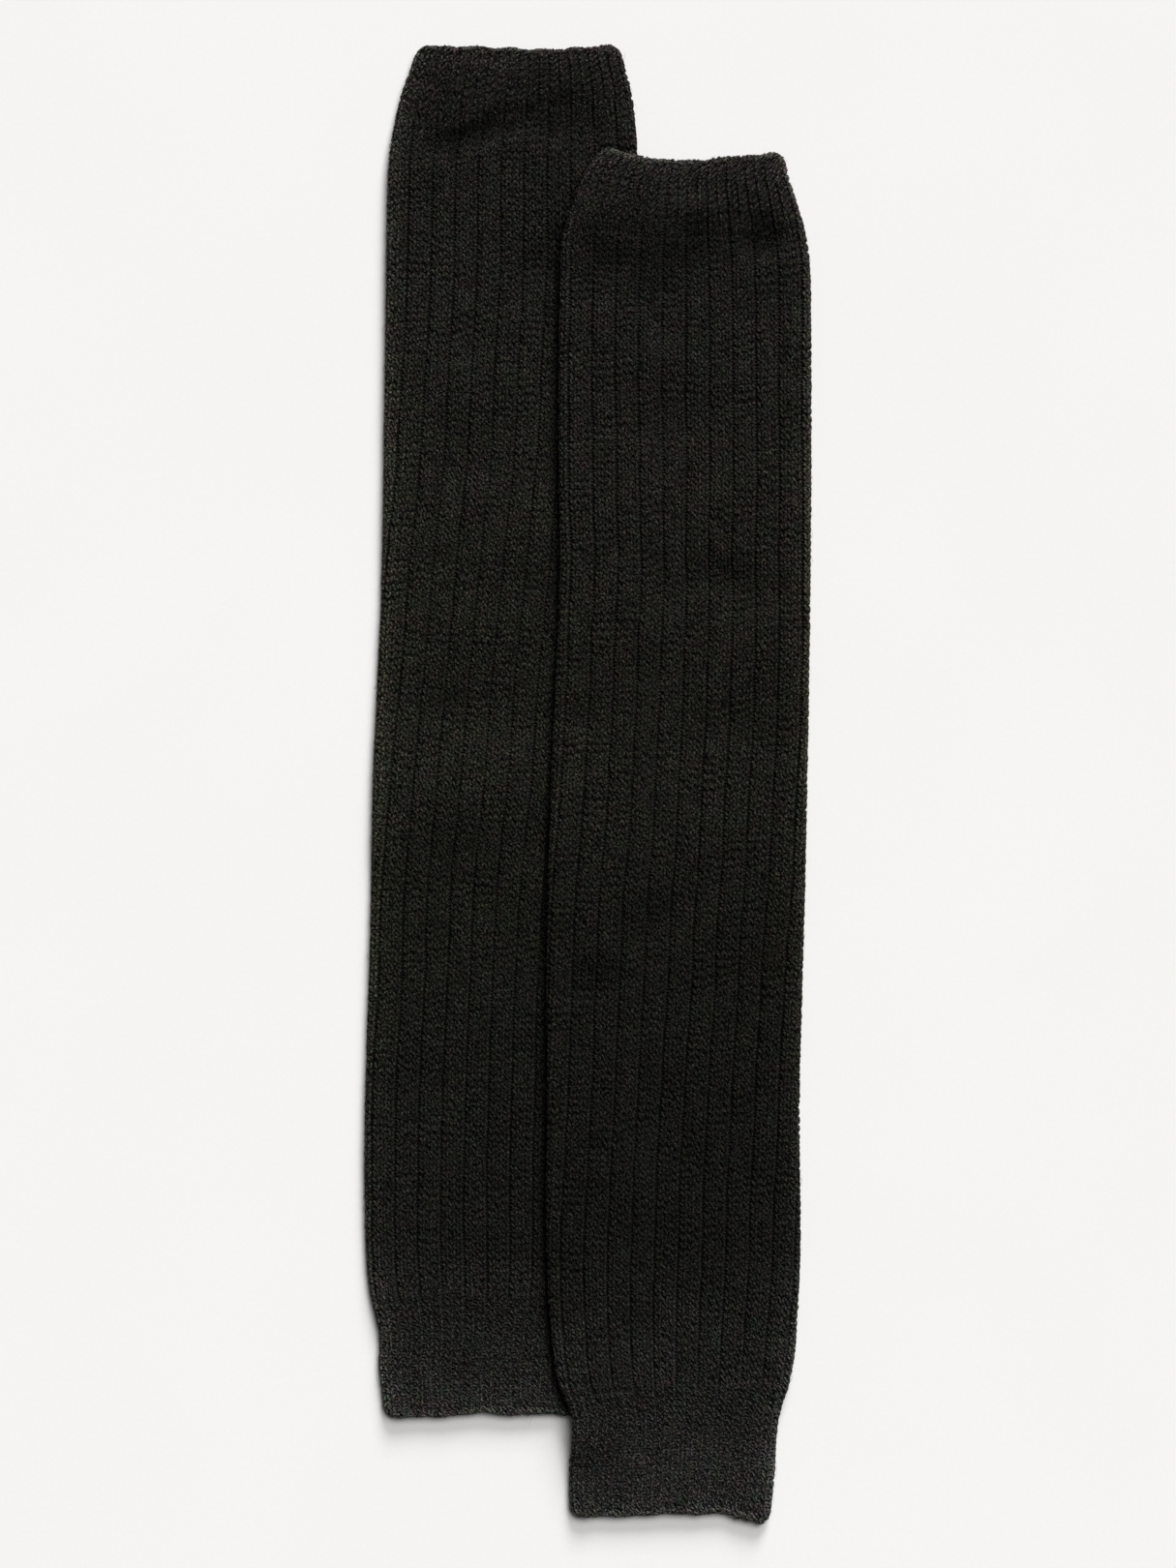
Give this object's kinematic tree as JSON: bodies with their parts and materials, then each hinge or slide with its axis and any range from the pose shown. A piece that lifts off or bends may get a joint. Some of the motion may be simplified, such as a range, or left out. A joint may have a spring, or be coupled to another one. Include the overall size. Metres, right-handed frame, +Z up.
{
  "type": "pair of leg warmers",
  "caption": "Ribbed knit leg warmers with ribbed cuffs, laid flat one over the other's edge, to dress a bed, shelf or floor scene.",
  "frame": {"origin": "middle of the bounding box in plan, on the surface that the pair lies on", "axes": "+X to the right, across the leg warmers; +Y along them, towards the top cuffs; +Z up from the surface"},
  "size_m": [0.1845, 0.6092, 0.0155],
  "materials": {
    "leg_knit": "matt black 3x1 rib knit in soft acrylic-wool yarn, slightly fuzzy",
    "cuff_knit": "matt black 1x1 rib knit in soft acrylic-wool yarn, slightly fuzzy"
  },
  "bodies": {
    "root": {"left_top_cuff": "cuff_knit", "left_leg": "leg_knit", "left_ankle_cuff": "cuff_knit", "right_top_cuff": "cuff_knit", "right_leg": "leg_knit", "right_ankle_cuff": "cuff_knit"}
  },
  "joints": []
}
